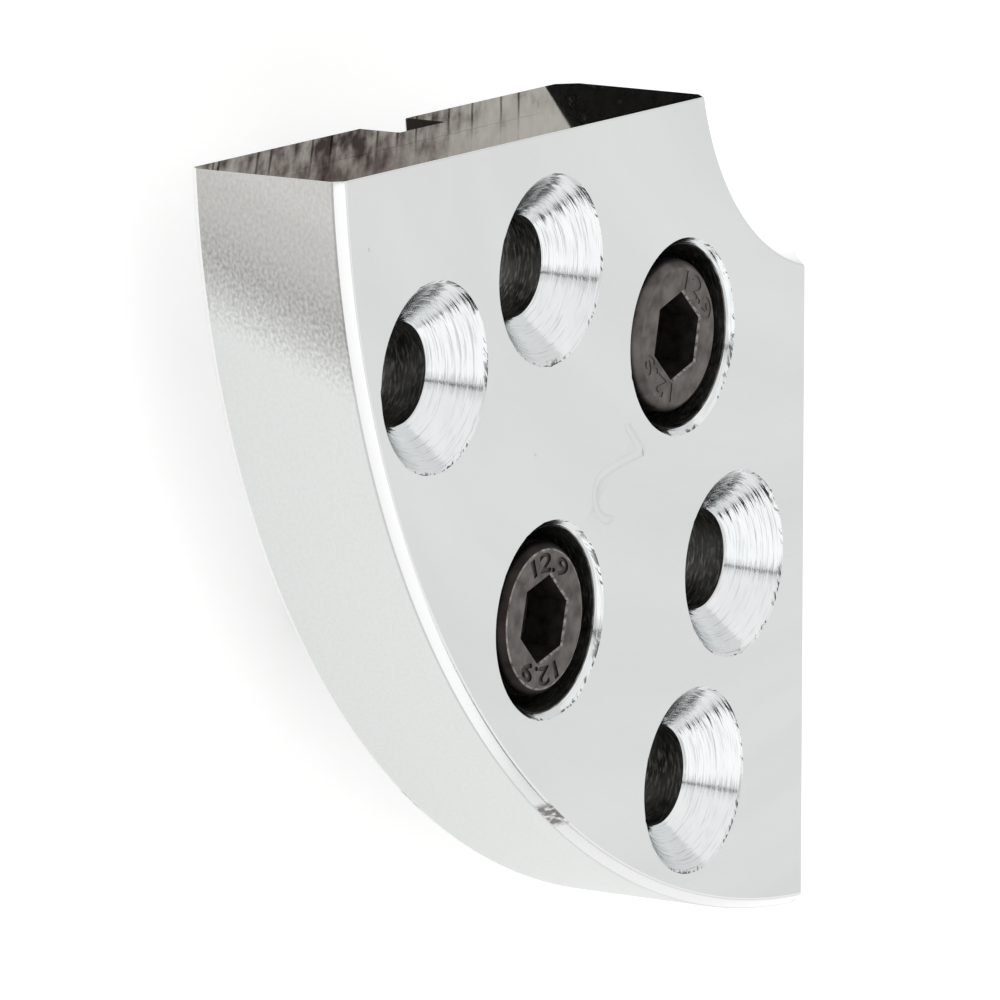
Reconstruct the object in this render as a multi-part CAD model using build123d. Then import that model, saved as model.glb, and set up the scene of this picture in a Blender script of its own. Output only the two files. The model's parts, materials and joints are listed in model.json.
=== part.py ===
from build123d import *
import math
import os

# One plate of a wood-turning jaw, a quarter of a turned steel disc, with the two cap
# screws that hold it to its slide. All sizes are in millimetres.
# +Z leaves the front face, +X runs outwards along the plate's own middle line, and the
# origin is in the plane of the back face, midway between the two screws.

# Turned disc
plate_thickness = 11.3
rim_radius = 60.0
rim_chamfer = 0.65
rim_back_chamfer = 0.5
bore_radius = 16.5
bore_chamfer = 0.9
bore_back_chamfer = 1.2

# Ring groove in the back, which locates the plate on its slide
groove_inner_radius = 35.4
groove_width = 5.2
groove_depth = 3.0

# Parting faces, where the disc was sawn into four and milled
parting_offset = 4.1
sector_angle = 90.0
edge_break = 0.2

# Counterbored holes for the cap screws, both on the middle line
inner_screw_radius = 27.5
screw_spacing = 22.7
clearance_diameter = 6.6
counterbore_diameter = 12.0
head_below_face = 0.4
counterbore_break = 0.45

# Countersunk holes for wood screws, in mirrored pairs about the middle line
wood_hole_diameter = 6.6
countersink_diameter = 12.2
countersink_angle = 90.0
wood_hole_half_angle = 25.0
inner_wood_hole_radius = 37.7
outer_wood_hole_to_rim = 7.8

# Hexagon socket cap screw, M6
thread_diameter = 6.0
screw_length = 12.0
head_diameter = 10.0
head_height = 6.0
head_top_chamfer = 0.5
head_seat_chamfer = 0.2
tip_chamfer = 0.8
socket_across_flats = 5.0
socket_depth = 3.0
socket_drill_angle = 120.0
inner_socket_turn = 32.0
outer_socket_turn = 30.0

# Places that follow from the sizes above
outer_screw_radius = inner_screw_radius + screw_spacing
chuck_axis_x = -(inner_screw_radius + outer_screw_radius) / 2
outer_wood_hole_radius = rim_radius - outer_wood_hole_to_rim
groove_outer_radius = groove_inner_radius + groove_width
counterbore_depth = head_height + head_below_face
seat_z = plate_thickness - counterbore_depth
wedge_tip_x = parting_offset / math.sin(math.radians(sector_angle / 2))


def turned_disc():
    """The ring as it leaves the lathe, about the chuck axis, with its back groove."""
    section = Polyline(
        (bore_radius + bore_back_chamfer, 0),
        (bore_radius, bore_back_chamfer),
        (bore_radius, plate_thickness - bore_chamfer),
        (bore_radius + bore_chamfer, plate_thickness),
        (rim_radius - rim_chamfer, plate_thickness),
        (rim_radius, plate_thickness - rim_chamfer),
        (rim_radius, rim_back_chamfer),
        (rim_radius - rim_back_chamfer, 0),
        (groove_outer_radius, 0),
        (groove_outer_radius, groove_depth),
        (groove_inner_radius, groove_depth),
        (groove_inner_radius, 0),
        close=True,
    )
    return revolve(Plane.XZ * make_face(section), Axis.Z)


def sector_wedge():
    """The quarter that the saw leaves: its two sides are the parting faces."""
    half = math.radians(sector_angle / 2)
    reach = 2 * rim_radius
    corner = (wedge_tip_x + reach * math.cos(half), reach * math.sin(half))
    outline = Polyline((wedge_tip_x, 0), corner, (corner[0], -corner[1]), close=True)
    return extrude(make_face(outline), plate_thickness)


def screw_hole(radius):
    """A counterbored clearance hole on the middle line, with its mouth deburred."""
    top = Plane.XY.offset(plate_thickness)
    shank = Pos(radius, 0, 0) * Cylinder(
        clearance_diameter / 2, plate_thickness, align=(Align.CENTER, Align.CENTER, Align.MIN)
    )
    bore = Pos(radius, 0, seat_z) * Cylinder(
        counterbore_diameter / 2, counterbore_depth, align=(Align.CENTER, Align.CENTER, Align.MIN)
    )
    mouth = top * Pos(radius, 0, 0) * Cone(
        counterbore_diameter / 2,
        counterbore_diameter / 2 + counterbore_break,
        counterbore_break,
        align=(Align.CENTER, Align.CENTER, Align.MAX),
    )
    return [shank, bore, mouth]


def wood_screw_hole(radius, angle):
    """A countersunk through hole at one polar place about the chuck axis."""
    sink_depth = (countersink_diameter - wood_hole_diameter) / 2
    sink_depth /= math.tan(math.radians(countersink_angle / 2))
    place = Rot(0, 0, angle) * Pos(radius, 0, 0)
    hole = place * Cylinder(
        wood_hole_diameter / 2, plate_thickness, align=(Align.CENTER, Align.CENTER, Align.MIN)
    )
    sink = place * Pos(0, 0, plate_thickness) * Cone(
        wood_hole_diameter / 2,
        countersink_diameter / 2,
        sink_depth,
        align=(Align.CENTER, Align.CENTER, Align.MAX),
    )
    return [hole, sink]


def parting_edges(plate):
    """The long front edges of the two parting faces, and their corners at the rim."""
    side = [f for f in plate.faces().filter_by(GeomType.PLANE) if abs(f.normal_at().Z) < 0.5]
    edges = ShapeList()
    for face in side:
        front = face.edges().filter_by(GeomType.LINE).group_by(Axis.Z)[-1]
        upright = face.edges().filter_by(Axis.Z).sort_by(Edge.length)
        outer = upright.sort_by(lambda e: math.hypot(e.center().X, e.center().Y))[-1]
        edges += [front.sort_by(Edge.length)[-1], outer]
    return edges


def jaw_plate():
    """The plate: a quarter of the turned disc with its six holes."""
    plate = turned_disc() & sector_wedge()
    plate = chamfer(parting_edges(plate), edge_break)
    for radius in (inner_screw_radius, outer_screw_radius):
        plate -= screw_hole(radius)
    for radius in (inner_wood_hole_radius, outer_wood_hole_radius):
        for angle in (-wood_hole_half_angle, wood_hole_half_angle):
            plate -= wood_screw_hole(radius, angle)
    return Pos(chuck_axis_x, 0, 0) * plate


def cap_screw(socket_turn):
    """A cap screw standing on its seat at z = 0, with its shank below."""
    shank_r = thread_diameter / 2
    head_r = head_diameter / 2
    outline = Polyline(
        (0, -screw_length),
        (shank_r - tip_chamfer, -screw_length),
        (shank_r, -screw_length + tip_chamfer),
        (shank_r, 0),
        (head_r - head_seat_chamfer, 0),
        (head_r, head_seat_chamfer),
        (head_r, head_height - head_top_chamfer),
        (head_r - head_top_chamfer, head_height),
        (0, head_height),
        close=True,
    )
    screw = revolve(Plane.XZ * make_face(outline), Axis.Z)
    return screw - socket(socket_turn)


def socket(turn):
    """The hexagon socket: six flats with a drilled cone under them."""
    flat_r = socket_across_flats / 2
    corner_r = flat_r / math.cos(math.radians(30))
    floor_z = head_height - socket_depth
    hexagon = RegularPolygon(corner_r, 6, rotation=turn)
    recess = Pos(0, 0, floor_z) * extrude(hexagon, socket_depth)
    cone_depth = flat_r / math.tan(math.radians(socket_drill_angle / 2))
    cone = Pos(0, 0, floor_z) * Cone(
        0, flat_r, cone_depth, align=(Align.CENTER, Align.CENTER, Align.MAX)
    )
    return [recess, cone]


def inner_cap_screw():
    """The screw nearer the chuck axis, on the floor of its counterbore."""
    return Pos(chuck_axis_x + inner_screw_radius, 0, seat_z) * cap_screw(inner_socket_turn)


def outer_cap_screw():
    """The screw nearer the rim, on the floor of its counterbore."""
    return Pos(chuck_axis_x + outer_screw_radius, 0, seat_z) * cap_screw(outer_socket_turn)


os.makedirs("parts", exist_ok=True)
for name, piece in (
    ("jaw_plate", jaw_plate()),
    ("inner_cap_screw", inner_cap_screw()),
    ("outer_cap_screw", outer_cap_screw()),
):
    export_step(piece, f"parts/{name}.step")
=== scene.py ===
# %% [markdown]
# # A wood jaw plate, dressed in Blender
#
# The object is one quarter of a turned steel disc. It bolts to a sliding jaw of a lathe
# chuck with two cap screws, and four countersunk holes take the wood screws that hold a
# block of timber. The CAD model gives every size. This script gives the plate its fine
# edges, tool marks and finishes, and the screws their threads and sockets.
#
# The first step loads the CAD model as a fixed frame and lists its parts. Everything below
# is in metres, so a size in millimetres is multiplied by `mm`.

# %% Load the frame
import bpy
import json
import math
import numpy as np
from mathutils import Matrix, Vector, noise

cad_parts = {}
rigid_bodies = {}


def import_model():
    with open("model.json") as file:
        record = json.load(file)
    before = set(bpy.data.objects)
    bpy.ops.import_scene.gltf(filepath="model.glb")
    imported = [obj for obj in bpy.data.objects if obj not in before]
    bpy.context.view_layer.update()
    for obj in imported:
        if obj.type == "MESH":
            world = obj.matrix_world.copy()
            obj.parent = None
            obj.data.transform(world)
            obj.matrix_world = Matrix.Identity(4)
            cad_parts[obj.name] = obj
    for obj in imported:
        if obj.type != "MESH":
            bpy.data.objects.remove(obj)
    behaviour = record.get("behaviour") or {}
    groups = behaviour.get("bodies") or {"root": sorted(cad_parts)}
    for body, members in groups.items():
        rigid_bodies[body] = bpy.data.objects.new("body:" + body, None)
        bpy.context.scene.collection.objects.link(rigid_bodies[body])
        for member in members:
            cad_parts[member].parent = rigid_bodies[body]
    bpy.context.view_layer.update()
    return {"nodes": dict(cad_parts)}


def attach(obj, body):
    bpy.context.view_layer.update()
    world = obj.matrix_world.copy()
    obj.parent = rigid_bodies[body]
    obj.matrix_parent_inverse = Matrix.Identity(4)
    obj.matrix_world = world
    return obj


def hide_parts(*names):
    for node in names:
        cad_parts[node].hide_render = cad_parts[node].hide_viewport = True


mm = 0.001
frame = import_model()
print("CAD nodes:", sorted(frame["nodes"]))

# %% [markdown]
# ## The camera
#
# A long lens, a good way off, looks down at the plate with the picture turned so that the
# rim is on the left. The place was found by fitting a pinhole camera to the rims of the
# counterbores, so it is written as numbers. It could also be set by eye with a track
# constraint, but then the ellipses of the holes would not come out as they should.

# %% Camera
camera_place = Vector((341.58, -528.71, 394.02)) * mm
camera_aim = Vector((9.41, -10.38, 11.3)) * mm
picture_up = Vector((-0.78314, -0.61716, -0.07613))
lens_mm = 412.7


def into_scene(name, data):
    """Puts a mesh, lamp, camera or text into the scene as a new object."""
    thing = bpy.data.objects.new(name, data)
    bpy.context.scene.collection.objects.link(thing)
    return thing


camera = into_scene("camera", bpy.data.cameras.new("camera"))
bpy.context.scene.camera = camera
sight = (camera_aim - camera_place).normalized()
side = sight.cross(picture_up).normalized()
camera.matrix_world = Matrix.Translation(camera_place) @ Matrix(
    (side, side.cross(sight), -sight)
).transposed().to_4x4()
camera.data.lens = lens_mm
camera.data.clip_start = 0.05
print("camera is", round((camera_aim - camera_place).length / mm), "mm from the plate")

# %% [markdown]
# ## Colour and nodes
#
# Colours are written as the sRGB hex a painter would pick, and one function turns them to
# the linear values that Blender's shaders work in. A second one sets or links the inputs
# of a node, and a third adds a node with its settings and its links, which keeps each
# material below as a short list. Shapes carry a flat map in millimetres, so a pattern's
# scale is one over its real size. Tools leave marks that are long one way and tight the
# other, so the last function stretches noise like that.

# %% Helpers for materials
def srgb(code):
    """A hex colour as linear red, green, blue and alpha."""
    parts = [int(code[i:i + 2], 16) / 255 for i in (1, 3, 5)]
    return [p / 12.92 if p <= 0.04045 else ((p + 0.055) / 1.055) ** 2.4 for p in parts] + [1.0]


def connect(node, links):
    """Sets each input of a node, or links it to an output; a whole node means its first."""
    for name, value in links.items():
        if isinstance(value, bpy.types.Node):
            value = value.outputs[0]
        if isinstance(value, bpy.types.NodeSocket):
            node.id_data.links.new(value, node.inputs[name])
        else:
            node.inputs[name].default_value = value


def add(tree, kind, links, stops=(), **settings):
    """Adds a node with its settings and its links; stops are those of a colour ramp."""
    node = tree.nodes.new("ShaderNode" + kind)
    for name, value in settings.items():
        setattr(node, name, value)
    for k, (position, colour) in enumerate(stops):
        stop = node.color_ramp.elements[k] if k < 2 else node.color_ramp.elements.new(position)
        stop.position, stop.color = position, colour
    connect(node, links)
    return node


def new_material(name):
    """An empty node material with its metal shader and its flat map in millimetres."""
    material = bpy.data.materials.new(name)
    material.use_nodes = True
    tree = material.node_tree
    shader = tree.nodes["Principled BSDF"]
    connect(shader, {"Metallic": 1.0})
    return material, tree, shader, add(tree, "UVMap", {}, uv_map="flat_mm")


def drawn_out(tree, place, along, across, detail):
    """Noise stretched along the turning, from how fast it changes along and across, per mm."""
    at = add(tree, "VectorMath", {0: place, 1: (along, across, 1.0)}, operation="MULTIPLY")
    return add(tree, "TexNoise", {"Vector": at, "Scale": 1.0, "Detail": detail})


print("middle grey, #808080, is", round(srgb("#808080")[0], 3), "in linear light")

# %% [markdown]
# ## Lapped zinc plate
#
# The front and back faces are bright zinc over lapped steel. Zinc plate is a soft grey
# mirror: it blurs what it reflects, shows faint clouds some millimetres across, and has a
# few tiny pits. The clouds could be a photograph of a real plate, but noise nodes give the
# same cloud at any zoom and need no image. Lapped grain is too fine for a picture of the
# whole plate, so it is drawn coarser than it is.

# %% Lapped face
cloud_mm = 16.0
grain_mm = 0.35
pit_spacing_mm = 5.5
pit_mm = 0.09

lapped_face, tree, shader, place = new_material("zinc plate, lapped face")
cloud = add(tree, "TexNoise", {"Vector": place, "Scale": 1 / cloud_mm, "Detail": 3.0})
tone = add(tree, "ValToRGB", {"Fac": cloud},
           stops=[(0.3, srgb("#DADDDC")), (0.7, srgb("#E2E4E3"))])
pits = add(tree, "TexVoronoi", {"Vector": place, "Scale": 1 / pit_spacing_mm})
pit = add(tree, "MapRange", {
    "Value": pits, "From Min": pit_mm / pit_spacing_mm, "From Max": 2 * pit_mm / pit_spacing_mm,
    "To Min": 0.75, "To Max": 1.0,
})
colour = add(tree, "Mix", {6: tone, 7: pit, "Factor": 1.0},
             data_type="RGBA", blend_type="MULTIPLY")
grain = add(tree, "TexNoise", {"Vector": place, "Scale": 1 / grain_mm, "Detail": 2.0})
rough = add(tree, "MapRange", {"Value": grain, "To Min": 0.30, "To Max": 0.44})
bump = add(tree, "Bump", {"Height": grain, "Strength": 0.12, "Distance": 0.01 * mm})
connect(shader, {"Base Color": colour.outputs[2], "Roughness": rough, "Normal": bump})
print("made", lapped_face.name)

# %% [markdown]
# ## Turned rim
#
# The rim keeps the fine lines of the lathe under its plating, so it is noise drawn out
# along the turning and tight across it. Near one end the rim is darker, and darker still
# towards the border of that part, where it breaks into specks before the bright plate
# begins. The border slants, so it follows the distance along the rim plus a share of the
# height on it.

# %% Turned rim
line_length_mm = 7.0
line_pitch_mm = 0.2
speck_mm = 0.21
speck_stretch = 0.7
dull_to_mm = 16.8
dull_slant = 0.42
rim_middle_mm = 60.1
# Tone and speck strength at some shares of the way from the end of the rim to dull_to_mm.
dull_tones = ((0.25, "#C5C4C2"), (0.42, "#BCBBB9"), (0.66, "#B2B1AF"), (1.0, "#DADCDB"))
speck_strength = ((0.25, 0.22), (0.52, 0.26), (0.70, 0.66), (0.88, 0.50), (1.0, 0.07))

turned_rim, tree, shader, place = new_material("zinc plate, turned rim")
lines = drawn_out(tree, place, 1 / line_length_mm, 1 / line_pitch_mm, 2.0)
speck = drawn_out(tree, place, speck_stretch / speck_mm, 1 / speck_mm, 1.5)
split = add(tree, "SeparateXYZ", {"Vector": place})
along = add(tree, "Math", {0: split.outputs["Y"], 1: dull_slant, 2: split.outputs["X"]},
            operation="MULTIPLY_ADD")
share = add(tree, "MapRange", {"Value": along, "From Min": dull_slant * rim_middle_mm,
                               "From Max": dull_slant * rim_middle_mm + dull_to_mm})
tone = add(tree, "ValToRGB", {"Fac": share}, stops=[(at, srgb(code)) for at, code in dull_tones])
tone.color_ramp.interpolation = "EASE"
# The specks are strongest at the border, faint on the darker side and almost gone past it.
contrast = add(tree, "ValToRGB", {"Fac": share},
               stops=[(at, (value, value, value, 1.0)) for at, value in speck_strength])
fleck = add(tree, "MapRange", {"Value": speck, "From Min": 0.3, "From Max": 0.7,
                               "To Min": 0.58, "To Max": 1.30})
colour = add(tree, "Mix", {6: tone, 7: fleck, "Factor": contrast},
             data_type="RGBA", blend_type="MULTIPLY")
rough = add(tree, "MapRange", {"Value": lines, "To Min": 0.28, "To Max": 0.44})
bump = add(tree, "Bump", {"Height": lines, "Strength": 0.2, "Distance": 0.01 * mm})
connect(shader, {"Base Color": colour.outputs[2], "Roughness": rough, "Normal": bump})
print("made", turned_rim.name)

# %% [markdown]
# ## Bright chamfers
#
# A sharp tool left the chamfers smoother than the faces. They catch the lamp as a clean
# white line, with one short rubbed patch on the rim's chamfer. The patch is noise, let
# through only near one place along the rim.

# %% Bright chamfer
rub_at_mm = 56.4
rub_half_mm = 1.7
rub_fades_from = 0.6
rub_grain_mm = 0.45

bright_chamfer, tree, shader, place = new_material("zinc plate, bright chamfer")
along = add(tree, "SeparateXYZ", {"Vector": place}).outputs["X"]
away = add(tree, "Math", {0: along, 1: rub_at_mm}, operation="SUBTRACT")
away = add(tree, "Math", {0: away}, operation="ABSOLUTE")
near = add(tree, "MapRange", {
    "Value": away, "From Min": rub_fades_from * rub_half_mm, "From Max": rub_half_mm,
    "To Min": 1.0, "To Max": 0.0,
})
speck = add(tree, "TexNoise", {"Vector": place, "Scale": 1 / rub_grain_mm, "Detail": 3.0})
worn = add(tree, "MapRange", {"Value": speck, "From Min": 0.36, "From Max": 0.54})
rubbed = add(tree, "Math", {0: near, 1: worn}, operation="MULTIPLY")
colour = add(tree, "Mix", {6: srgb("#F1F2F1"), 7: srgb("#8C8A88"), "Factor": rubbed},
             data_type="RGBA")
bump = add(tree, "Bump", {"Height": speck, "Strength": 0.2, "Distance": 0.01 * mm})
connect(shader, {"Base Color": colour.outputs[2], "Roughness": 0.24, "Normal": bump})
print("made", bright_chamfer.name)

# %% [markdown]
# ## Sawn parting faces
#
# The disc was sawn into four and the cuts were milled, and these faces took the plating
# badly, which left dark stains that hang from the back edge along the saw's slant. The faces
# are pale near the bore and taupe towards the rim; that taupe is partly the sawn steel and
# partly painted reflection, a darker colour for the dark surroundings that such a mirror-like
# face shows. The stains are noise that is tight across the slant and drawn out along it, so
# they follow `lean`, the distance out from the axis at which a slanted line meets the back
# edge.

# %% Parting face
slant = 0.636
mark_mm = 0.35
mark_rise_mm = 5.0
stain_mm = 1.1
stain_rise_mm = 6.0
stain_share = 0.68
first_lean, last_lean = 15.0, 60.0
# How pale the face is at some distances out, in mm, on the scale of its tones below. It is partly
# the face's own tone and partly painted reflection of the dark beside it.
paleness_and_painted_reflection = ((21.0, 0.62), (27.0, 0.56), (30.5, 0.48), (36.0, 0.40), (42.0, 0.36), (48.0, 0.40),
            (54.0, 0.43))
# From dark brown stain, and painted dark reflection, to bare plate.
stain_and_painted_reflection_tones = ((0.28, "#3F3533"), (0.36, "#665A56"), (0.45, "#8D837F"), (0.56, "#ABA9A2"),
               (0.68, "#C9C8C2"))

parting_face, tree, shader, place = new_material("zinc plate, sawn parting face")
split = add(tree, "SeparateXYZ", {"Vector": place})
out_from_axis, height = split.outputs["X"], split.outputs["Y"]
lean = add(tree, "Math", {0: height, 1: -1 / slant, 2: out_from_axis},
           operation="MULTIPLY_ADD")
across = add(tree, "Math", {0: lean, 1: math.sin(math.atan(slant))}, operation="MULTIPLY")
streaks = []
for wide, tall in ((mark_mm, mark_rise_mm), (stain_mm, stain_rise_mm)):
    on_slant = add(tree, "CombineXYZ", {
        "X": add(tree, "Math", {0: across, 1: wide}, operation="DIVIDE"),
        "Y": add(tree, "Math", {0: height, 1: tall}, operation="DIVIDE"),
    })
    streaks.append(add(tree, "TexNoise", {"Vector": on_slant, "Scale": 1.0, "Detail": 4.0}))
marks, stains = streaks
wear = add(tree, "Mix", {0: stain_share, 2: marks, 3: stains})
wear = add(tree, "Math", {0: wear, 1: 0.5}, operation="SUBTRACT")
depth = add(tree, "MapRange", {"Value": height, "From Min": 1.0, "From Max": 9.5,
                               "To Min": 1.25, "To Max": 0.6})
along = add(tree, "MapRange", {"Value": lean, "From Min": first_lean, "From Max": last_lean})
# Painted reflection: the face is made paler or darker by its distance out, as the dark around it
# would show in a mirror-like face.
level = add(tree, "ValToRGB", {"Fac": along}, stops=[
    ((distance - first_lean) / (last_lean - first_lean), (value, value, value, 1.0))
    for distance, value in paleness_and_painted_reflection])
shade = add(tree, "Math", {0: wear, 1: depth, 2: level}, operation="MULTIPLY_ADD")
tone = add(tree, "ValToRGB", {"Fac": shade}, stops=[(at, srgb(code)) for at, code in stain_and_painted_reflection_tones])
print("made the tones of the parting face")

# %% [markdown]
# Over the stains the saw left a few thin dark lines, which start at the back edge and die
# out before the front one, and something drew one long scratch across them. The bare end by
# the bore was milled clean of both. The lines are a one-dimensional cell pattern, because
# its cells are narrow, straight and unevenly spaced, as such lines are.

# %% Parting face, lines and scratch
dark_line_mm = 1.7
dark_line_half_mm = 0.09
clean_to_mm = 19.0
clean_fade_mm = 1.5
scratch_height_mm = 6.4
scratch_mm = 0.05

lines_at = add(tree, "Math", {0: across, 1: dark_line_mm}, operation="DIVIDE")
lines = add(tree, "TexVoronoi", {"W": lines_at, "Scale": 1.0}, voronoi_dimensions="1D")
line = add(tree, "MapRange", {
    "Value": lines, "From Min": 0.5 * dark_line_half_mm / dark_line_mm,
    "From Max": dark_line_half_mm / dark_line_mm, "To Min": 0.75, "To Max": 0.0,
})
reach = add(tree, "MapRange", {"Value": height, "From Min": 3.5, "From Max": 9.0,
                               "To Min": 1.0, "To Max": 0.1})
line = add(tree, "Math", {0: line, 1: reach}, operation="MULTIPLY")
milled = add(tree, "MapRange", {"Value": lean, "From Min": clean_to_mm,
                                "From Max": clean_to_mm + clean_fade_mm})
wander = add(tree, "Math", {0: stains, 1: 0.5, 2: height}, operation="MULTIPLY_ADD")
wander = add(tree, "Math", {0: wander, 1: scratch_height_mm}, operation="SUBTRACT")
wander = add(tree, "Math", {0: wander}, operation="ABSOLUTE")
scratch = add(tree, "MapRange", {"Value": wander, "From Min": scratch_mm,
                                 "From Max": 2 * scratch_mm, "To Min": 0.35, "To Max": 0.0})
dark = add(tree, "Math", {0: line, 1: scratch}, operation="MAXIMUM")
dark = add(tree, "Math", {0: dark, 1: milled}, operation="MULTIPLY")
clear = add(tree, "Math", {0: 1.0, 1: dark}, operation="SUBTRACT")
colour = add(tree, "Mix", {6: tone, 7: clear, "Factor": 1.0},
             data_type="RGBA", blend_type="MULTIPLY")
print("made the lines and the scratch of the parting face")

# %% [markdown]
# Where the tone is dark the metal lies under dry oxide, which does not shine, so the face
# is less of a metal there; the painted reflection darkens the tone too, so it also makes the
# face less of a metal. Where it is bare the cutter left it nearly a mirror, and it is duller
# under the stains and the painted reflection.

# %% Parting face, shine
bare = add(tree, "MapRange", {"Value": shade, "From Min": 0.30, "From Max": 0.55,
                              "To Min": 0.1, "To Max": 0.98})
bare = add(tree, "Math", {0: bare, 1: clear}, operation="MULTIPLY")
rough = add(tree, "MapRange", {"Value": shade, "From Min": 0.36, "From Max": 0.58,
                               "To Min": 0.20, "To Max": 0.04})
bump = add(tree, "Bump", {"Height": marks, "Strength": 0.1, "Distance": 0.01 * mm})
connect(shader, {"Base Color": colour.outputs[2], "Metallic": bare, "Roughness": rough,
                 "Specular IOR Level": 0.0, "Specular Tint": srgb("#BAB8B3"), "Normal": bump})
print("made", parting_face.name)

# %% [markdown]
# ## Countersinks
#
# A countersink tool leaves a cone of fine bright rings with a little chatter, and at the
# mouth its burr breaks off in small dark nicks. The larger rings are real geometry further
# down; the finest ones are a bump across the cone. The flat map measures down from the
# mouth, so the nicks can be kept to its edge.

# %% Countersink cut
ring_pitch_mm = 0.36
ring_grain_mm = 0.11
# How fast the rings, their grain and the cloudy patches change along a ring, per mm.
ring_change, grain_change, patch_change = 0.10, 0.35, 0.6
nick_mm = 0.34
nick_cluster_mm = 3.5
nick_depth_mm = 0.45
nick_pull = 0.22
nick_from, nick_to = 1.24, 1.32

countersink_cut, tree, shader, place = new_material("zinc plate, countersink cut")
rings = drawn_out(tree, place, ring_change, 1 / ring_pitch_mm, 1.0)
grain = drawn_out(tree, place, grain_change, 1 / ring_grain_mm, 2.0)
patch = add(tree, "TexNoise", {"Vector": place, "Scale": patch_change, "Detail": 2.0})
colour = add(tree, "Mix", {6: srgb("#DCE0E1"), 7: srgb("#EFF0F0"), "Factor": patch},
             data_type="RGBA")
torn = add(tree, "MapRange", {"Value": grain, "From Min": 0.32, "From Max": 0.44,
                              "To Min": 0.80, "To Max": 1.0})
colour = add(tree, "Mix", {6: colour.outputs[2], 7: torn, "Factor": 1.0},
             data_type="RGBA", blend_type="MULTIPLY")
below_mouth = add(tree, "SeparateXYZ", {"Vector": place}).outputs["Y"]
at_mouth = add(tree, "MapRange", {"Value": below_mouth, "From Max": nick_depth_mm,
                                  "To Min": 1.0, "To Max": 0.0})
chips = add(tree, "TexNoise", {"Vector": place, "Scale": 1 / nick_mm, "Detail": 2.0})
cluster = add(tree, "TexNoise", {"Vector": place, "Scale": 1 / nick_cluster_mm, "Detail": 1.0})
both = add(tree, "Math", {0: chips, 1: cluster}, operation="ADD")
both = add(tree, "Math", {0: at_mouth, 1: nick_pull, 2: both}, operation="MULTIPLY_ADD")
nicked = add(tree, "MapRange", {"Value": both, "From Min": nick_from, "From Max": nick_to})
nicked = add(tree, "Math", {0: nicked, 1: at_mouth}, operation="MULTIPLY", use_clamp=True)
colour = add(tree, "Mix", {6: colour.outputs[2], 7: srgb("#3E3D3C"), "Factor": nicked},
             data_type="RGBA")
rough = add(tree, "MapRange", {"Value": rings, "To Min": 0.08, "To Max": 0.17})
height = add(tree, "Math", {0: grain, 1: ring_grain_mm / ring_pitch_mm, 2: rings},
             operation="MULTIPLY_ADD")
bump = add(tree, "Bump", {"Height": height, "Strength": 0.75, "Distance": 0.05 * mm})
connect(shader, {"Base Color": colour.outputs[2], "Roughness": rough, "Normal": bump})
print("made", countersink_cut.name)

# %% [markdown]
# ## Bored walls
#
# Plating hardly reaches into holes, so their walls are drilled steel with traces of cutting
# oil, and fine bright chips stick in it here and there. Their dark grey is partly that steel
# and partly painted shade, the dark that falls deep in a narrow hole.

# %% Bored wall
smudge_mm = 2.2
chip_mm = 0.16
chip_long_mm = 0.8
feed_mm = 0.2
feed_change = 0.15

bored_wall, tree, shader, place = new_material("bare steel and painted shade, bored wall")
smudge = add(tree, "TexNoise", {"Vector": place, "Scale": 1 / smudge_mm, "Detail": 4.0})
# Dark grey, partly drilled steel and partly painted shade of the hole.
tone = add(tree, "ValToRGB", {"Fac": smudge},
           stops=[(0.35, srgb("#403F3E")), (0.75, srgb("#8A8985"))])
specks = drawn_out(tree, place, 1 / chip_long_mm, 1 / chip_mm, 3.0)
chips = add(tree, "MapRange", {"Value": specks, "From Min": 0.49, "From Max": 0.72,
                               "To Max": 0.85})
colour = add(tree, "Mix", {6: tone, 7: srgb("#B9B8B4"), "Factor": chips}, data_type="RGBA")
rings = drawn_out(tree, place, feed_change, 1 / feed_mm, 2.0)
rough = add(tree, "MapRange", {"Value": rings, "To Min": 0.34, "To Max": 0.55})
bump = add(tree, "Bump", {"Height": rings, "Strength": 0.3, "Distance": 0.02 * mm})
connect(shader, {"Base Color": colour.outputs[2], "Roughness": rough, "Normal": bump,
                 "Specular Tint": srgb("#8C8B88")})
print("made", bored_wall.name)

# %% [markdown]
# ## Oiled groove
#
# The ring groove in the back runs on the chuck's slide, so it is full of old oil. That is
# nearly black and only half shiny, and it could be a separate film of glass-like oil over
# steel, but in a groove this deep the eye sees only the dark.

# %% Oiled groove
oiled_groove, tree, shader, place = new_material("oiled steel, groove")
film = add(tree, "TexNoise", {"Vector": place, "Scale": 1 / smudge_mm, "Detail": 3.0})
colour = add(tree, "Mix", {6: srgb("#1F1C1B"), 7: srgb("#453F3C"), "Factor": film},
             data_type="RGBA")
rough = add(tree, "MapRange", {"Value": film, "To Min": 0.45, "To Max": 0.65})
connect(shader, {"Base Color": colour.outputs[2], "Roughness": rough,
                 "Specular Tint": srgb("#3A3634")})
print("made", oiled_groove.name)

# %% [markdown]
# ## Black oxide
#
# The screws are hardened steel with a black oxide skin, which is really a very dark
# brown-grey with an oily, mottled sheen.

# %% Black oxide
mottle_mm = 1.1

black_oxide, tree, shader, place = new_material("black oxide steel")
mottle = add(tree, "TexNoise", {"Vector": place, "Scale": 1 / mottle_mm, "Detail": 4.0})
tone = add(tree, "ValToRGB", {"Fac": mottle},
           stops=[(0.34, srgb("#524D4B")), (0.66, srgb("#76716E"))])
rough = add(tree, "MapRange", {"Value": mottle, "To Min": 0.40, "To Max": 0.58})
bump = add(tree, "Bump", {"Height": mottle, "Strength": 0.25, "Distance": 0.03 * mm})
connect(shader, {"Base Color": tone, "Roughness": rough, "Normal": bump})
print("made", black_oxide.name)

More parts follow.
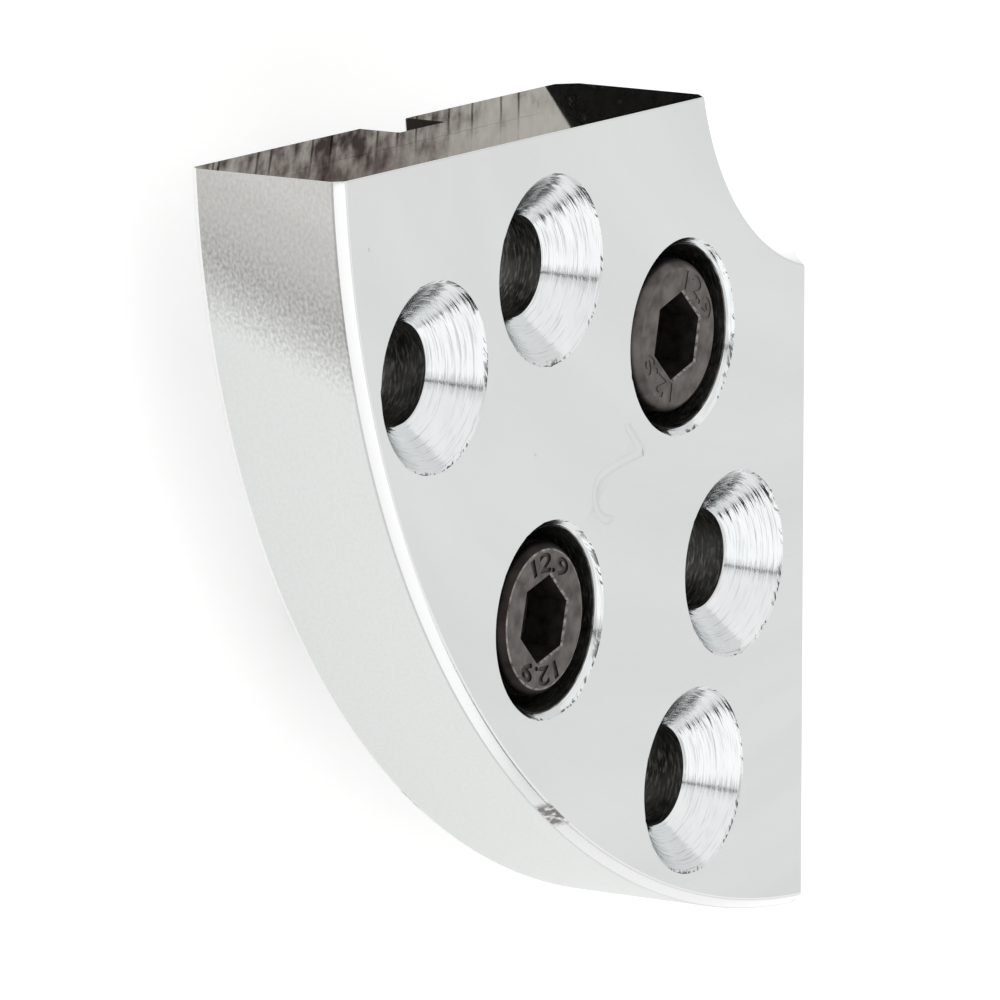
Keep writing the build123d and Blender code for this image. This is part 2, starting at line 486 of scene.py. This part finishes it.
# %% [markdown]
# ## Oily and rubbed black oxide
#
# Oil and dust lie in the bottom of a socket, in stamped figures and round the edge of the
# head, where nothing wipes them off, so those places hardly shine. The narrow edges that a
# key and a thumb touch are rubbed lighter. All three are the same oxide, so one loop makes
# them from two tones each.

# %% Oily and rubbed black oxide
screw_finishes = [black_oxide]
for name, dark, light, dullest, film_mm in (
    ("oily black oxide, socket and figures", "#3A3634", "#5A5552", 0.62, 1.1),
    ("oily black oxide, edge of the head", "#272322", "#3C3735", 0.55, 1.1),
    ("rubbed black oxide, edges", "#524D4B", "#A8A39F", 0.45, 0.4),
):
    finish, tree, shader, place = new_material(name)
    film = add(tree, "TexNoise", {"Vector": place, "Scale": 1 / film_mm, "Detail": 3.0})
    span = add(tree, "MapRange", {"Value": film, "From Min": 0.35, "From Max": 0.65})
    colour = add(tree, "Mix", {6: srgb(dark), 7: srgb(light), "Factor": span}, data_type="RGBA")
    rough = add(tree, "MapRange", {"Value": film, "To Min": dullest - 0.15, "To Max": dullest})
    connect(shader, {"Base Color": colour.outputs[2], "Roughness": rough})
    screw_finishes.append(finish)
OXIDE, SOCKET, OILY, RUBBED = range(4)
print("screw finishes:", [finish.name for finish in screw_finishes])

# %% [markdown]
# ## A skin over rings of points
#
# Every shape here is a row of closed rings joined by quads: the plate is its own cross
# section swept round the chuck's axis, and a hole or a screw is a stack of circles. One
# function makes them all. It could be done with the Spin and Screw tools, but with plain
# rings each point can also carry a place on a flat map in millimetres, and each face a
# finish, so that tool marks later follow the turning of each surface.

# %% Ring skin
def skin(name, rings, flat_map, finish, finishes, cap_map):
    """A closed mesh over rings of points. flat_map gives (u, v) in mm, with one column more."""
    rings = np.asarray(rings, float)
    count, around = rings.shape[:2]
    faces, corners, index = [], [], []
    for i in range(count - 1):
        for j in range(around):
            k = (j + 1) % around
            faces.append((i * around + j, i * around + k,
                          (i + 1) * around + k, (i + 1) * around + j))
            corners += [flat_map[i][j], flat_map[i][j + 1],
                        flat_map[i + 1][j + 1], flat_map[i + 1][j]]
            index.append(finish(i, j))
    for i, order in ((0, -1), (count - 1, 1)):
        faces.append(tuple(range(i * around, (i + 1) * around))[::order])
        corners += [cap_map(*point) for point in rings[i]][::order]
        index.append(finish(i, None))
    mesh = bpy.data.meshes.new(name)
    mesh.from_pydata((rings.reshape(-1, 3) * mm).tolist(), [], faces)
    uv = mesh.uv_layers.new(name="flat_mm").data
    uv.foreach_set("uv", np.asarray(corners, float).ravel())
    for material in finishes:
        mesh.materials.append(material)
    mesh.polygons.foreach_set("material_index", index)
    mesh.validate()
    return into_scene(name, mesh)


def circle(x, y, radius, turn, z):
    """One level ring of points round (x, y); the radius may differ from point to point."""
    return np.stack([x + radius * np.cos(turn), y + radius * np.sin(turn),
                     np.full(len(turn), z)], 1)


print("a ring of 4 points:", circle(0, 0, 1.0, np.arange(4) * math.pi / 2, 0).round(2).tolist())

# %% [markdown]
# ## The plate's body
#
# On the real plate this is a ring turned in one piece, then sawn into four. Here the ring's
# cross section is drawn first, with softened corners, as a tool's nose and the plating
# leave them.

# %% Cross section
chuck_axis_x = -38.85
thickness = 11.3
corner_reach = 0.12
plate_finishes = [lapped_face, turned_rim, bright_chamfer, parting_face, countersink_cut,
                  bored_wall, oiled_groove]
LAPPED, TURNED, CHAMFERED, PARTED, SUNK, BORED, GROOVED = range(7)
# Corners of the cross section as (radius, height), each with the finish of the run that
# leaves it: up the bore, out over the front face, down the rim and back under.
section = [
    ((17.7, 0.0), CHAMFERED), ((16.5, 1.2), TURNED), ((16.5, 10.4), CHAMFERED),
    ((17.4, 11.3), LAPPED), ((59.35, 11.3), CHAMFERED), ((60.0, 10.65), TURNED),
    ((60.0, 0.5), CHAMFERED), ((59.5, 0.0), LAPPED), ((40.6, 0.0), GROOVED),
    ((40.6, 3.0), GROOVED), ((35.4, 3.0), GROOVED), ((35.4, 0.0), LAPPED),
]


def soften(loop, reach):
    """Cuts each corner of a closed outline back by reach, with one point on the curve."""
    out = []
    for before, here, after in zip(loop[-1:] + loop[:-1], loop, loop[1:] + loop[:1]):
        a, c, b = (np.array(p, float) for p in (before, here, after))
        start = c + (a - c) / np.linalg.norm(a - c) * reach
        end = c + (b - c) / np.linalg.norm(b - c) * reach
        out += [start, 0.25 * start + 0.5 * c + 0.25 * end, end]
    return np.array(out)


outline = soften([corner for corner, _ in section], corner_reach)
outline_finish = [section[k // 3][1] for k in range(len(outline))]
print("cross section:", len(section), "corners,", len(outline), "points once softened")

# %% [markdown]
# The section is swept round the chuck's axis in fine steps. The end of each ring of points
# is moved in so that both ends lie flat on the parting planes, which do not pass through
# the axis: the saw took 4.1 mm from each side. Three more sections, each a little smaller,
# round the edge of each parting face.

# %% Sweep
parting_offset = 4.1
sweep_steps = 132
edge_radius = 0.10
edge_turns = (30, 60, 90)

area = np.sum(outline[:, 0] * np.roll(outline[:, 1], -1)
              - np.roll(outline[:, 0], -1) * outline[:, 1])
inward = -1.0 if area > 0 else 1.0


def inset(loop, distance):
    """Moves each point of a closed outline inwards, square to its neighbours."""
    after, before = np.roll(loop, -1, axis=0), np.roll(loop, 1, axis=0)
    forward, back = after - loop, loop - before
    forward /= np.linalg.norm(forward, axis=1)[:, None]
    back /= np.linalg.norm(back, axis=1)[:, None]
    square = np.stack([forward[:, 1] + back[:, 1], -forward[:, 0] - back[:, 0]], 1)
    square /= (1 + (forward * back).sum(1))[:, None]
    return loop + inward * distance * square


def plate_ring(loop, turn, offset):
    """The section at one turn from -1 to 1, where the ends lie at offset from the axis."""
    angle = turn * (math.pi / 4 - np.arcsin(offset / loop[:, 0]))
    return np.stack([
        chuck_axis_x + loop[:, 0] * np.cos(angle), loop[:, 0] * np.sin(angle), loop[:, 1],
    ], 1)


rings = [plate_ring(outline, t, parting_offset + edge_radius)
         for t in np.linspace(-1, 1, sweep_steps)]
for degrees in edge_turns:
    a = math.radians(degrees)
    loop = inset(outline, edge_radius * (1 - math.cos(a)))
    offset = parting_offset + edge_radius * (1 - math.sin(a))
    rings.insert(0, plate_ring(loop, -1, offset))
    rings.append(plate_ring(loop, 1, offset))
print("plate body:", len(rings), "sections of", len(outline), "points")

# %% [markdown]
# The flat map: on surfaces that were turned, u runs round the plate from one end and v
# along the section, so lathe lines follow the turning. On the front and back faces it is
# simply x and y.

# %% Plate body, mapped and skinned
run = np.concatenate([[0], np.cumsum(np.linalg.norm(np.roll(outline, -1, 0) - outline, axis=1))])
columns = list(range(len(outline))) + [0]
column_is_flat = [outline_finish[min(k, len(outline) - 1)] == LAPPED for k in range(len(columns))]


def plate_map(ring, k, column):
    """The flat map of one point of the body, in mm."""
    x, y, _ = ring[column]
    if column_is_flat[k]:
        return (x, y)
    angle = math.atan2(y, x - chuck_axis_x) + math.pi / 4
    return (angle * math.hypot(x - chuck_axis_x, y), run[k])


def seen_from_side(x, y, z):
    """The flat map of a parting face: millimetres out from the chuck's axis, and height."""
    return (math.hypot(x - chuck_axis_x, y), z)


def body_finish(i, j):
    """Which finish a face of the body has."""
    return PARTED if j is None else outline_finish[j]


flat_map = [[plate_map(ring, k, column) for k, column in enumerate(columns)] for ring in rings]
plate = skin("jaw_plate_turned", rings, flat_map, body_finish, plate_finishes, seen_from_side)
print("faces in the plate body:", len(plate.data.polygons))

# %% [markdown]
# ## The holes
#
# Each hole is cut by a stack of circles. Where a mouth is nicked its radius grows a little,
# and noise says where, because a burr breaks off unevenly. Seeds are fixed, so every run
# cuts the same. Each hole's flat map starts a good way from the last one's, so that no two
# holes show the same marks.

# %% Hole cutter
hole_steps = 112
overshoot = 1.0
flat_gap_mm = 60.0
burr_side, burr_focus, burr_extra = 75.0, 6, 0.25
nick_rate, nick_seed_gap, nick_floor = 9.0, 5.0, 0.35


def nick(angle, seed):
    """How badly a mouth is nicked at an angle, most on the side where the tool's burr tore."""
    worst = max(0.0, math.cos(angle - math.radians(burr_side))) ** burr_focus
    torn_edge = noise.noise(Vector((math.cos(angle) * nick_rate, math.sin(angle) * nick_rate,
                                    nick_seed_gap * seed)))
    return max(0.0, torn_edge + burr_extra * worst - nick_floor)


def seen_from_above(x, y, z):
    """The flat map of a level cap, such as the top of a screw's head."""
    return (x, y)


def cutter(name, x, y, profile, bored_runs, wobble, seed):
    """A revolved cutter at (x, y) from (radius, z) points upwards, the first runs left bare."""
    turn = np.linspace(0, 2 * math.pi, hole_steps + 1)
    profile = np.asarray(profile, float)
    along = np.concatenate([[0], np.cumsum(np.linalg.norm(np.diff(profile, axis=0), axis=1))])
    along = along[np.argmax(profile[:, 1] > thickness - 0.001)] - along
    rings, flat = [], []
    for i, (radius, z) in enumerate(profile):
        grow = np.array([wobble(a, radius, z, seed) for a in turn[:-1]])
        rings.append(circle(x, y, radius + grow, turn[:-1], z))
        flat.append([(a * radius + flat_gap_mm * seed, along[i]) for a in turn])
    return skin(name, rings, flat, lambda i, j: BORED if i < bored_runs else SUNK,
                plate_finishes, seen_from_above)


print("a mouth's worst nick:", round(max(nick(math.radians(a), 1) for a in range(360)), 2))

# %% [markdown]
# The two counterbores take the cap screws' heads: a clearance hole, a flat seat with a
# small fillet round it, and a mouth lightly broken at about 45 degrees, a little round
# where it meets the wall.

# %% Counterbore cutters
seat_z = 4.9
clearance_radius = 3.3
counterbore_radius = 6.0
counterbore_break = 0.45
corner_fillet = 0.15
counterbore_nick = 0.25
screw_places = {"inner": 27.5, "outer": 50.2}


def mouth_nicks(angle, radius, z, seed):
    """How far the nicks stand out of a counterbore's mouth, in mm."""
    at_mouth = radius > counterbore_radius + 0.2 and z < thickness + 0.01
    return counterbore_nick * nick(angle, seed) if at_mouth else 0.0


break_z = thickness - counterbore_break
mouth_radius = counterbore_radius + counterbore_break
profile = [
    (clearance_radius, -overshoot), (clearance_radius, seat_z),
    (counterbore_radius - corner_fillet, seat_z), (counterbore_radius, seat_z + corner_fillet),
    (counterbore_radius, break_z - 0.05), (counterbore_radius + 0.05, break_z + 0.03),
    (mouth_radius - 0.15, thickness - 0.15), (mouth_radius, thickness),
    (mouth_radius + overshoot, thickness + overshoot),
]
cutters = []
for seed, (name, radius) in enumerate(screw_places.items(), 7):
    cutters.append(cutter("counterbore_" + name, chuck_axis_x + radius, 0.0, profile,
                          5, mouth_nicks, seed))
print("counterbore cutters:", len(cutters))

# %% [markdown]
# The four countersinks get the tool's rings as real ridges a hundredth of a millimetre
# high, which fade in and out round the cone as chatter does, and a mouth with a thin flare
# and a few nicks. A bump could give these rings too, but then the mesh itself would be a
# smooth cone, so only the finest rings are left to the bump.

# %% Countersink cutters
hole_radius = 3.3
sink_radius = 6.1
flare = 0.10
ring_step = 0.09
ring_height = 0.009
rings_per_mm, ring_seed_gap = 7.3, 3.1
fade_rate, fade_middle, fade_swing = 1.6, 0.65, 0.8
sink_nick = 0.35
wood_holes = [(r, a) for r in (37.7, 52.2) for a in (-25.0, 25.0)]
sink_floor = thickness - (sink_radius - hole_radius)


def chatter(angle, radius, z, seed):
    """How far the tool's rings and nicks stand off a true cone, in mm."""
    if radius <= hole_radius + 0.05 or z > thickness + 0.01:
        return 0.0
    ring = noise.noise(Vector((radius * rings_per_mm, ring_seed_gap * seed, 0.0)))
    fade = fade_middle + fade_swing * noise.noise(Vector((
        math.cos(angle) * fade_rate, math.sin(angle) * fade_rate, radius + seed)))
    mouth = sink_nick * nick(angle, seed) if radius > sink_radius - 0.12 else 0.0
    # Noise swings about half each way, so it is doubled to reach the ring's height.
    return 2.0 * ring_height * ring * fade + mouth


cone = [(r, sink_floor + r - hole_radius)
        for r in np.arange(hole_radius + ring_step, sink_radius - flare, ring_step)]
profile = [(hole_radius, -overshoot), (hole_radius, sink_floor - 0.03)] + cone + [
    (sink_radius - flare * 0.4, thickness - flare * 0.7),
    (sink_radius + flare * 0.6, thickness), (sink_radius + 1.2, thickness + overshoot),
]
for seed, (radius, angle) in enumerate(wood_holes, 1):
    place = (chuck_axis_x + radius * math.cos(math.radians(angle)),
             radius * math.sin(math.radians(angle)))
    cutters.append(cutter(f"wood_hole_{seed}", *place, profile, 1, chatter, seed))
print("cutters in all:", len(cutters))

# %% [markdown]
# ## The plate's number
#
# A stamped number says which place on the chuck the plate belongs to. The stamp leaves it
# as a shallow round-bottomed groove. Here a thin tube follows the figure and is cut out
# with its middle just above the face, which leaves a groove less than a tenth of a
# millimetre deep.

# %% Figure two
figure_radius = 38.8
figure_height = 6.1
figure_width = 3.4
tube_radius = 0.8
tube_rise = 0.71
tube_points = 48
# The strokes of a 2 as (across, up) from its middle, in halves of its width and height.
hook = [(0.98 * math.cos(math.radians(a)), 0.52 + 0.46 * math.sin(math.radians(a)))
        for a in range(160, -31, -10)]
strokes = {
    "hook": hook + [(0.66, 0.10), (0.30, -0.20), (-0.30, -0.64), (-0.85, -1.02)],
    "foot": [(across, -1.0) for across in (-0.95, -0.85, -0.7, 0.0, 0.7, 0.85, 1.0)],
}


def stroke_cutter(name, stroke):
    """A tube along one stroke of the figure, thinner where the stroke runs out softly."""
    stroke = np.array(stroke)
    steps = np.arange(len(stroke))
    from_end = np.minimum(steps, steps[::-1]) if name == "foot" else steps
    thick = tube_rise + (tube_radius - tube_rise) * np.clip(0.1 + 0.45 * from_end, 0.0, 1.0)
    path = np.stack([
        chuck_axis_x + figure_radius + stroke[:, 1] * figure_height / 2,
        -stroke[:, 0] * figure_width / 2,
    ], 1)
    ahead = np.gradient(path, axis=0)
    ahead /= np.linalg.norm(ahead, axis=1)[:, None]
    turn = np.linspace(0, 2 * math.pi, tube_points, endpoint=False)
    rings = [np.stack([
        x - ay * r * np.cos(turn), y + ax * r * np.cos(turn),
        thickness + tube_rise + r * np.sin(turn),
    ], 1) for (x, y), (ax, ay), r in zip(path, ahead, thick)]
    flat = [[tuple(point[:2]) for point in ring] + [tuple(ring[0][:2])] for ring in rings]
    return skin("figure_" + name, rings, flat, lambda i, j: LAPPED, plate_finishes,
                seen_from_above)


for name, stroke in strokes.items():
    cutters.append(stroke_cutter(name, stroke))
print("cutters with the figure's strokes:", len(cutters))

# %% [markdown]
# ## Cutting one shape out of another
#
# The holes are cut as they are in the workshop, each tool as one solid. Blender's exact
# boolean keeps the cutter's own material and flat map on the faces it leaves, so a
# countersink arrives with its own finish. The cutter is deleted once it has done its work.
# Weighted normals then keep the flat faces flat right up to their small rounded edges.

# %% Plate, cut and finished
def worked_out(thing):
    """The mesh of an object, with its modifiers or its text worked out."""
    bpy.context.view_layer.update()
    evaluated = thing.evaluated_get(bpy.context.evaluated_depsgraph_get())
    return bpy.data.meshes.new_from_object(evaluated)


def carve(thing, tools):
    """Takes the tools out of thing, and deletes them."""
    for tool in tools:
        cut = thing.modifiers.new(tool.name, "BOOLEAN")
        cut.operation = "DIFFERENCE"
        cut.solver = "EXACT"
        cut.material_mode = "TRANSFER"
        cut.object = tool
    mesh = worked_out(thing)
    thing.modifiers.clear()
    thing.data = mesh
    for tool in tools:
        bpy.data.objects.remove(tool)


def finish_edges(thing, angle):
    """Smooth shading up to an angle, with flat faces kept flat beside small rounded ones."""
    thing.data.shade_smooth()
    thing.data.set_sharp_from_angle(angle=math.radians(angle))
    weigh = thing.modifiers.new("weighted normals", "WEIGHTED_NORMAL")
    weigh.keep_sharp = True


carve(plate, cutters)
finish_edges(plate, angle=30)
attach(plate, "root")
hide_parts("jaw_plate")
print("plate faces:", len(plate.data.polygons))
print("plate finishes:", [m.name for m in plate.data.materials])

# %% [markdown]
# ## The cap screws
#
# An M6 screw with a knurled round head and a hexagon socket. The head and the threaded
# shank are one stack of rings from the tip to the top of the head: along the shank the
# radius follows the thread's 60 degree flanks, one millimetre a turn, and dies out at the
# tip's chamfer and under the head. A texture could fake a thread, but its outline would
# stay straight, and the tips show below the plate.

# %% Screw body
head_radius = 5.0
head_height = 6.0
screw_length = 12.0
tip_radius = 2.2
thread_radius = 3.0
thread_depth = 0.61
thread_step = 0.06
thread_runout = 0.7
flank_slope = 1.45
groove_root = 1.25
pitch = 1.0
screw_steps = 240
knurl_ridges = 60
knurl_depth = 0.09


def thread_cut(turn, z):
    """How far the thread lies below its crest at a turn and a height, in mm."""
    phase = (z / pitch - turn / (2 * math.pi)) % 1.0
    groove = np.clip(groove_root - np.abs(phase - 0.5) * 2 * flank_slope, 0.0, 1.0)
    fade = np.clip((-z - thread_runout) / thread_runout, 0.0, 1.0)
    return thread_depth * groove * fade


def screw_rings():
    """The rings of a screw that stands on its seat at z = 0, from the tip upwards."""
    turn = np.linspace(0, 2 * math.pi, screw_steps, endpoint=False)
    levels = []
    for z in [-screw_length, *np.arange(-screw_length + thread_step, -0.3, thread_step)]:
        cone = tip_radius + (z + screw_length)
        levels.append((np.minimum(thread_radius - thread_cut(turn, z), cone), z))
    # The neck and the head's under side, then its knurled wall, then its rounded edge.
    levels += [(thread_radius, -0.25), (thread_radius + 0.06, -0.08), (thread_radius + 0.2, 0.0),
               (head_radius - 0.25, 0.0), (head_radius - 0.12, 0.04), (head_radius - 0.05, 0.18)]
    knurl = knurl_depth * (0.5 + 0.5 * np.cos(knurl_ridges * turn))
    levels += [(head_radius - knurl, z) for z in (0.45, 2.0, 3.6, 5.2)]
    levels += [(head_radius - 0.02, 5.38), (head_radius - 0.06, 5.52), (head_radius - 0.16, 5.68),
               (head_radius - 0.32, 5.84), (head_radius - 0.44, 5.95),
               (head_radius - 0.56, head_height)]
    return np.array([circle(0.0, 0.0, radius, turn, z) for radius, z in levels])


stack = screw_rings()
print("screw rings:", len(stack), "tip radius", round(float(np.hypot(*stack[0][0][:2])), 2), "mm")

# %% [markdown]
# ## Sockets
#
# A punch leaves the hexagon socket with a lightly broken mouth, and the drill that went
# before it leaves a cone at the bottom. Both are cut out as they are made, and the
# hexagon's mouth gets the rubbed finish, because the key touches it.

# %% Socket cutters
across_flats = 5.0
socket_depth = 3.0
mouth_break = 0.12
drill_point = 60.0
drill_steps = 72
socket_turn = {"inner": 32.0, "outer": 30.0}
head_top = seat_z + head_height
socket_bottom = head_top - socket_depth


def socket_cutter(x, turn):
    """The hexagon with its lightly broken mouth."""
    corner = across_flats / 2 / math.cos(math.radians(30))
    levels = [(corner, socket_bottom), (corner, head_top - mouth_break),
              (corner + mouth_break, head_top), (corner + mouth_break + 0.5, head_top + 0.5)]
    angles = np.radians(turn + 60 * np.arange(6))
    rings = [circle(x, 0.0, r, angles, z) for r, z in levels]
    flat = [[(corner * math.radians(60 * k), z) for k in range(7)] for _, z in levels]
    return skin("hexagon", rings, flat, lambda i, j: RUBBED if i == 1 else SOCKET,
                screw_finishes, seen_from_above)


def drill_cutter(x):
    """The cone that the drill left under the hexagon."""
    step = 360 / drill_steps
    angles = np.radians(step * np.arange(drill_steps))
    tip = socket_bottom - across_flats / 2 / math.tan(math.radians(drill_point))
    levels = [(0.02, tip), (across_flats / 2, socket_bottom),
              (across_flats / 2, socket_bottom + 0.5)]
    rings = [circle(x, 0.0, r, angles, z) for r, z in levels]
    flat = [[(r * math.radians(step * k), z) for k in range(drill_steps + 1)] for r, z in levels]
    return skin("drill", rings, flat, lambda i, j: SOCKET, screw_finishes, seen_from_above)


print("sockets:", across_flats, "mm across flats and", socket_depth, "mm deep")

# %% [markdown]
# ## Strength grade
#
# A cap screw's head carries its strength grade in sunk figures. A text object gives them
# as a thin mesh, which is then bent round the head point by point. A curve modifier could
# bend it too, but this needs no guide curve and widens the figures in the same step. The
# inner screw's figures are clean and shallow, the outer one's deeper and full of oil.

# %% Strength grade
mark_radius = 3.72
mark_height = 1.18
# A font's size is about this many times the height of its figures.
size_per_height = 1.4
mark_boldness = 0.05
mark_stretch = 1.75
# Where the figures stand, their finish and their depth.
grade_marks = {"inner": (183.0, OXIDE, 0.05), "outer": (218.0, SOCKET, 0.10)}


def grade_cutter(x, middle, finish, depth):
    """The strength grade as sunk figures round the head, read from outside."""
    text = bpy.data.curves.new("grade", "FONT")
    text.body = "12.9"
    text.align_x = "CENTER"
    text.size = mark_height * size_per_height
    text.offset = mark_boldness
    text.extrude = depth
    text.resolution_u = 3
    line = into_scene("grade_line", text)
    mesh = worked_out(line)
    bpy.data.objects.remove(line)
    for vertex in mesh.vertices:
        across, up, deep = vertex.co
        radius = mark_radius + up - mark_height / 2
        angle = math.radians(middle) - across * mark_stretch / mark_radius
        vertex.co = Vector((x + radius * math.cos(angle), radius * math.sin(angle),
                            head_top + deep)) * mm
    mesh.materials.clear()
    mesh.materials.append(screw_finishes[finish])
    return into_scene("grade", mesh)


print("grade figures are", mark_height, "mm high at", mark_radius, "mm from the screw's middle")

# %% [markdown]
# ## Both screws
#
# The two screws are the same, but not their use: the inner head is wiped clean, with its
# edge as light as its top, and the outer head's rounded edge holds oil and is rubbed where
# it meets the top. So each has its own rule for which ring gets which finish.

# %% Screws, cut and finished
edge_rings = 7


def clean_head(i, j):
    """The inner screw is black oxide all over."""
    return OXIDE


def oily_head(i, j):
    """The outer screw's rounded edge is oily, and rubbed on its last ring."""
    if j is None or i < len(stack) - edge_rings:
        return OXIDE
    return RUBBED if i == len(stack) - 2 else OILY


head_finish = {"inner": clean_head, "outer": oily_head}
turn = np.linspace(0, 2 * math.pi, screw_steps + 1)
for name, radius in screw_places.items():
    x = chuck_axis_x + radius
    rings = stack + np.array([x, 0.0, seat_z])
    flat = [[(a * thread_radius, ring[0][2]) for a in turn] for ring in rings]
    screw = skin(name + "_screw_threaded", rings, flat, head_finish[name], screw_finishes,
                 seen_from_above)
    tools = [socket_cutter(x, socket_turn[name]), drill_cutter(x)]
    middle, finish, depth = grade_marks[name]
    tools += [grade_cutter(x, angle, finish, depth) for angle in (middle, middle - 180.0)]
    carve(screw, tools)
    finish_edges(screw, angle=32)
    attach(screw, "root")
    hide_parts(name + "_cap_screw")
    print(screw.name, "faces:", len(screw.data.polygons))

# %% [markdown]
# ## Floor and light
#
# A pale floor stands just under the screws' tips. It looks white to the camera and to the
# metal, but still takes the plate's shadow, so more than half of the white is its own glow,
# seen only by camera, mirror and glass rays, and the rest is the light that falls on it.

# %% Floor
floor_z = -7.2
floor_half = 900.0
floor_glow = 0.6


def board(name, corners, material):
    """A flat board that belongs to the set, from its four corners in mm."""
    mesh = bpy.data.meshes.new(name)
    mesh.from_pydata([(Vector(corner) * mm)[:] for corner in corners], [], [(0, 1, 2, 3)])
    mesh.materials.append(material)
    thing = into_scene(name, mesh)
    return thing


paper = bpy.data.materials.new("white paper floor")
paper.use_nodes = True
tree = paper.node_tree
tree.nodes.clear()
ray = add(tree, "LightPath", {}).outputs
seen = add(tree, "Math", {0: ray["Is Camera Ray"], 1: ray["Is Glossy Ray"]}, operation="MAXIMUM")
seen = add(tree, "Math", {0: seen, 1: ray["Is Transmission Ray"]}, operation="MAXIMUM")
share = add(tree, "Math", {0: seen, 1: floor_glow}, operation="MULTIPLY")
lit = add(tree, "BsdfDiffuse", {"Color": srgb("#CACAC9")})
glow = add(tree, "Emission", {"Color": (1, 1, 1, 1), "Strength": share})
both = add(tree, "AddShader", {0: lit, 1: glow})
add(tree, "OutputMaterial", {"Surface": both})
board("floor", [(x * floor_half, y * floor_half, floor_z)
                for x, y in ((-1, -1), (1, -1), (1, 1), (-1, 1))], paper)
print("floor at", floor_z, "mm")

# %% [markdown]
# Metal shows what stands around it, so the light is laid out by what each surface mirrors:
# a large key panel high over the rim for the chamfers and countersinks, a fill panel
# beside it with a narrow gap that draws a dark line down each cone, a third panel behind
# for the front face, a weak low one for the far end of the rim's chamfer, and a mid grey
# surround. Blender spreads a panel's power over its size, so the power is worked out from
# how bright the panel should look, and a longer panel stays as bright.

# %% Lamps
# The watts that make a panel of one square metre look as bright as 1.
watts_for_radiance = 4


def direction(azimuth, elevation):
    """A unit vector from angles in degrees: azimuth from +X towards +Y, elevation above it."""
    a, e = math.radians(azimuth), math.radians(elevation)
    return Vector((math.cos(e) * math.cos(a), math.cos(e) * math.sin(a), math.sin(e)))


def panel(name, start, end, width, radiance, distance=1.1):
    """A soft panel that faces the plate and reaches from one direction in the sky to another."""
    first, last = direction(*start), direction(*end)
    toward = (first + last).normalized()
    along = (first - last).normalized()
    length = 2 * distance * math.tan(first.angle(last) / 2)
    lamp = bpy.data.lights.new(name, "AREA")
    lamp.shape = "RECTANGLE"
    lamp.size, lamp.size_y = length, width
    lamp.energy = watts_for_radiance * radiance * length * width
    thing = into_scene(name, lamp)
    turn = Matrix((along, toward.cross(along), toward)).transposed().to_4x4()
    thing.matrix_world = Matrix.Translation(toward * distance) @ turn
    thing.visible_camera = False
    print(name, "is", round(length, 2), "by", width, "m")


panel("key panel", (62.5, 26.5), (-52, 58), 0.7, 0.30)
panel("fill panel", (-81, 56), (-176, 24), 0.8, 0.16)
panel("face panel", (102, 31), (146, 31), 0.9, 0.14)
panel("low panel", (60, 12), (100, 4), 0.35, 0.14)

# %% [markdown]
# ## Black cards
#
# A bright metal object needs something dark to mirror, or it looks like paper. A product
# photographer stands black cards beside it. These draw the dark lines down each cone and
# darken one end of the parting face. Only mirror-like surfaces see them. Two stand in the
# sky, given by the azimuth and elevation of their corners, and one lies on the floor.

# %% Black cards
card_distance = 700.0
card_lift = 0.1

black_card = bpy.data.materials.new("black card")
black_card.use_nodes = True
connect(black_card.node_tree.nodes["Principled BSDF"],
        {"Base Color": srgb("#101010"), "Roughness": 1.0, "Specular IOR Level": 0.0})


def flag(name, corners):
    """A black card, given by its corners in mm, that only mirror-like surfaces see."""
    card = board(name, corners, black_card)
    card.visible_camera = False
    card.visible_diffuse = False
    card.visible_shadow = False
    card.visible_transmission = False


def sky_flag(name, corners):
    """A flag in the sky, from the azimuth and elevation of its corners in degrees."""
    flag(name, [direction(*corner) * card_distance for corner in corners])


sky_flag("gap flag", [(-68, 40), (-63, 40), (-63, 76), (-68, 76)])
sky_flag("side flag", [(57, 27.5), (72, 25), (72, 42), (45, 47)])
flag("low flag", [(x, y, floor_z + card_lift)
                  for x, y in ((-55, -3.5), (-28, -3.5), (-28, 12), (-55, 12))])

# %% [markdown]
# ## The surround
#
# An even mid grey world fills in whatever the panels leave dark. The camera sees it white,
# as the paper behind the object.

# %% Surround
surround_light = 0.80

surround = bpy.data.worlds.new("surround")
bpy.context.scene.world = surround
surround.use_nodes = True
tree = surround.node_tree
tree.nodes.clear()
seen = add(tree, "LightPath", {}).outputs["Is Camera Ray"]
strength = add(tree, "MapRange", {"Value": seen, "To Min": surround_light, "To Max": 1.0})
sky = add(tree, "Background", {"Color": (1, 1, 1, 1), "Strength": strength})
add(tree, "OutputWorld", {"Surface": sky})

# %% [markdown]
# ## The view transform
#
# The view transform is Standard, so that a colour comes out as written.

# %% Finish
bpy.context.scene.view_settings.view_transform = "Standard"
